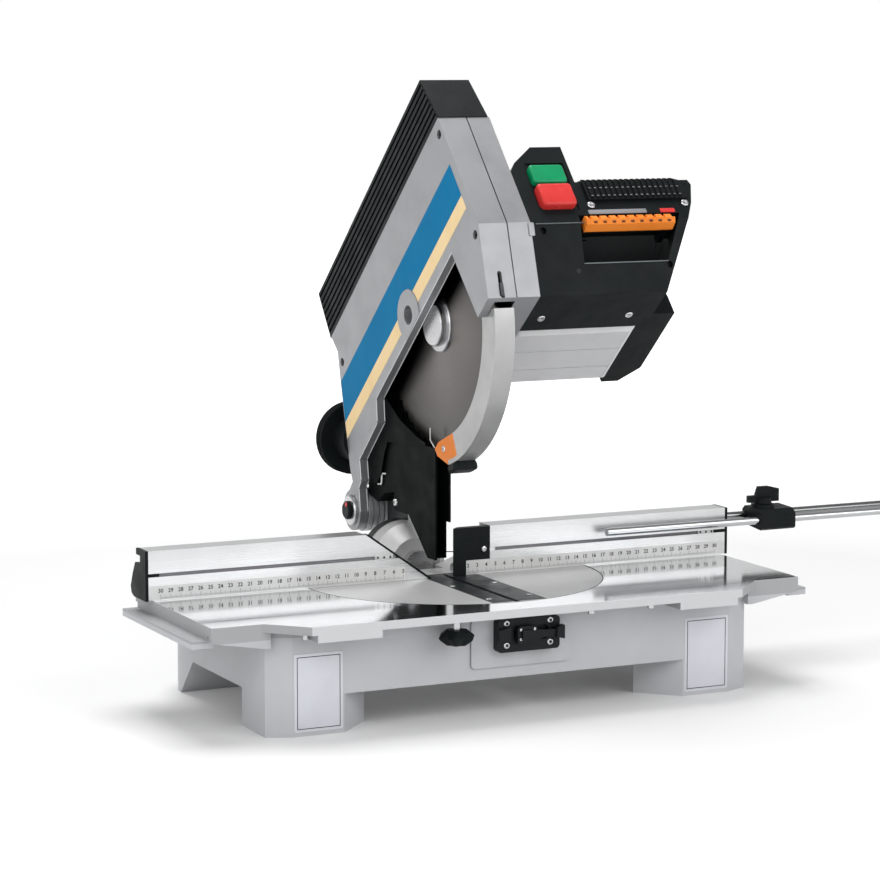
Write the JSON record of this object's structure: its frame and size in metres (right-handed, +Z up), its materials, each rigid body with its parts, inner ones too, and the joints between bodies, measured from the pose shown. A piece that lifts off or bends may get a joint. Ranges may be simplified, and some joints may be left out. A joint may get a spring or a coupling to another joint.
{
  "type": "miter saw",
  "caption": "Bench miter saw with turntable, tilting head, spring-lifted blade arm, swinging lower guard, two-part fence with rules and a rod-type length stop.",
  "frame": {"origin": "turntable axis on the bench plane, at the middle of the bench bolt pattern", "axes": "+X to the operator's right along the fence, +Y to the back, +Z up"},
  "size_m": [0.882, 0.4592, 0.5891],
  "materials": {
    "base_grey": "satin",
    "polished_aluminium": "polished",
    "turntable_grey": "satin",
    "silver_shell": "satin",
    "motor_silver": "satin",
    "black_plastic": "satin",
    "grip_rubber": "matte",
    "screw_steel": "satin",
    "chrome_rod": "polished",
    "steel": "satin",
    "blade_steel": "ground",
    "rule_tape": "matte",
    "orange_plastic": "gloss",
    "green_plastic": "gloss",
    "red_plastic": "gloss"
  },
  "bodies": {
    "base": {"base_casting": "base_grey", "turntable_cradle": "base_grey", "front_panel": "base_grey", "left_fence": "polished_aluminium", "right_fence": "polished_aluminium", "fence_end_caps": "black_plastic", "fence_end_liner": "black_plastic", "fence_end_block": "black_plastic", "block_screw": "screw_steel", "rule_tapes": "rule_tape", "fence_bolts": "screw_steel", "index_bracket": "black_plastic", "bracket_screws": "screw_steel", "stop_guide_rod": "chrome_rod"},
    "index_lever": {"index_lever": "black_plastic"},
    "lock_knob": {"lock_knob": "black_plastic"},
    "stop_clamp": {"stop_clamp_block": "black_plastic"},
    "stop_wing": {"stop_wing_knob": "black_plastic"},
    "stop_rod": {"stop_rod": "chrome_rod"},
    "turntable": {"turntable": "turntable_grey", "table_insert": "black_plastic", "turntable_bolt": "screw_steel"},
    "tilt_frame": {"tilt_bracket": "silver_shell", "bevel_pin": "steel", "chip_chute": "black_plastic", "chop_pivot_bolt": "steel", "pivot_cap": "black_plastic", "pivot_nut": "screw_steel", "return_spring": "steel"},
    "bevel_lever": {"bevel_lock_lever": "black_plastic"},
    "head": {"left_cover": "silver_shell", "cover_screws": "screw_steel", "right_housing": "silver_shell", "rear_cover": "black_plastic", "dust_port": "black_plastic", "motor_housing": "motor_silver", "motor_end_cap": "black_plastic", "stator": "steel", "handle_housing": "black_plastic", "grip_cover": "grip_rubber", "handle_screws": "screw_steel", "arbor_bearings": "steel", "motor_bearings": "steel"},
    "guard_catch": {"guard_catch": "black_plastic"},
    "blade": {"saw_blade": "blade_steel", "arbor_shaft": "steel", "inner_flange": "steel", "outer_flange": "steel", "arbor_nut": "steel", "driven_gear": "steel"},
    "motor_rotor": {"motor_shaft": "steel", "rotor_core": "steel", "cooling_fan": "black_plastic"},
    "guard": {"lower_guard": "silver_shell", "guard_bumpers": "orange_plastic", "guard_screws": "screw_steel", "guard_knob": "black_plastic"},
    "start_button": {"start_button": "green_plastic"},
    "stop_button": {"stop_button": "red_plastic"},
    "trigger": {"trigger_bar": "orange_plastic"}
  },
  "joints": [
    {"name": "miter_turn", "type": "hinge", "parent": "base", "child": "turntable", "pos_m": [0, 0, 0.107], "axis": [0, 0, -1], "range_deg": [-45, 45]},
    {"name": "bevel_tilt", "type": "hinge", "parent": "turntable", "child": "tilt_frame", "pos_m": [0, 0.104, 0.107], "axis": [0, -1, 0], "range_deg": [0, 45]},
    {"name": "bevel_lever_turn", "type": "hinge", "parent": "tilt_frame", "child": "bevel_lever", "pos_m": [0, 0.158, 0.107], "axis": [0, 1, 0], "range_deg": [-30, 30]},
    {"name": "head_chop", "type": "hinge", "parent": "tilt_frame", "child": "head", "pos_m": [0, 0.19, 0.148], "axis": [1, 0, 0], "range_deg": [0, 37], "stiffness_Nm_per_rad": 30, "springref_deg": -74.48},
    {"name": "guard_swing", "type": "hinge", "parent": "head", "child": "guard", "pos_m": [0, 0.019, 0.353], "axis": [-1, 0, 0], "range_deg": [0, 78]},
    {"name": "blade_spin", "type": "hinge", "parent": "head", "child": "blade", "pos_m": [0, 0.019, 0.353], "axis": [1, 0, 0], "continuous": true},
    {"name": "motor_spin", "type": "hinge", "parent": "head", "child": "motor_rotor", "pos_m": [0.1, -0.00984, 0.36127], "axis": [1, 0, 0], "continuous": true},
    {"name": "start_press", "type": "slide", "parent": "head", "child": "start_button", "axis": [0, 0.7431, -0.6691], "range_m": [0, 0.003], "stiffness_N_per_m": 600, "springref_m": -0.002},
    {"name": "stop_press", "type": "slide", "parent": "head", "child": "stop_button", "axis": [0, 0.7431, -0.6691], "range_m": [0, 0.004], "stiffness_N_per_m": 600, "springref_m": -0.002},
    {"name": "trigger_squeeze", "type": "hinge", "parent": "head", "child": "trigger", "pos_m": [0.137, -0.08218, 0.43939], "axis": [-1, 0, 0], "range_deg": [0, 6], "stiffness_Nm_per_rad": 2, "springref_deg": -8.59},
    {"name": "catch_slide", "type": "slide", "parent": "head", "child": "guard_catch", "axis": [0, 0.2957, 0.9553], "range_m": [0, 0.01]},
    {"name": "lock_knob_turn", "type": "hinge", "parent": "base", "child": "lock_knob", "pos_m": [-0.074, -0.168, 0.083], "axis": [0, 0, 1], "range_deg": [0, 120]},
    {"name": "index_lever_swing", "type": "hinge", "parent": "base", "child": "index_lever", "pos_m": [0, -0.156, 0.0788], "axis": [0, -1, 0], "range_deg": [0, 20]},
    {"name": "stop_block_slide", "type": "slide", "parent": "base", "child": "stop_clamp", "axis": [1, 0, 0], "range_m": [-0.025, 0.12]},
    {"name": "stop_rod_slide", "type": "slide", "parent": "stop_clamp", "child": "stop_rod", "axis": [1, 0, 0], "range_m": [-0.06, 0.1]},
    {"name": "wing_knob_turn", "type": "hinge", "parent": "stop_clamp", "child": "stop_wing", "pos_m": [0.357, 0, 0.16], "axis": [0, 0, 1], "range_deg": [0, 150]}
  ],
  "couplings": [
    {"joint": "guard_swing", "follows": "head_chop", "ratio": 2.1},
    {"joint": "motor_spin", "follows": "blade_spin", "ratio": -2.75}
  ]
}
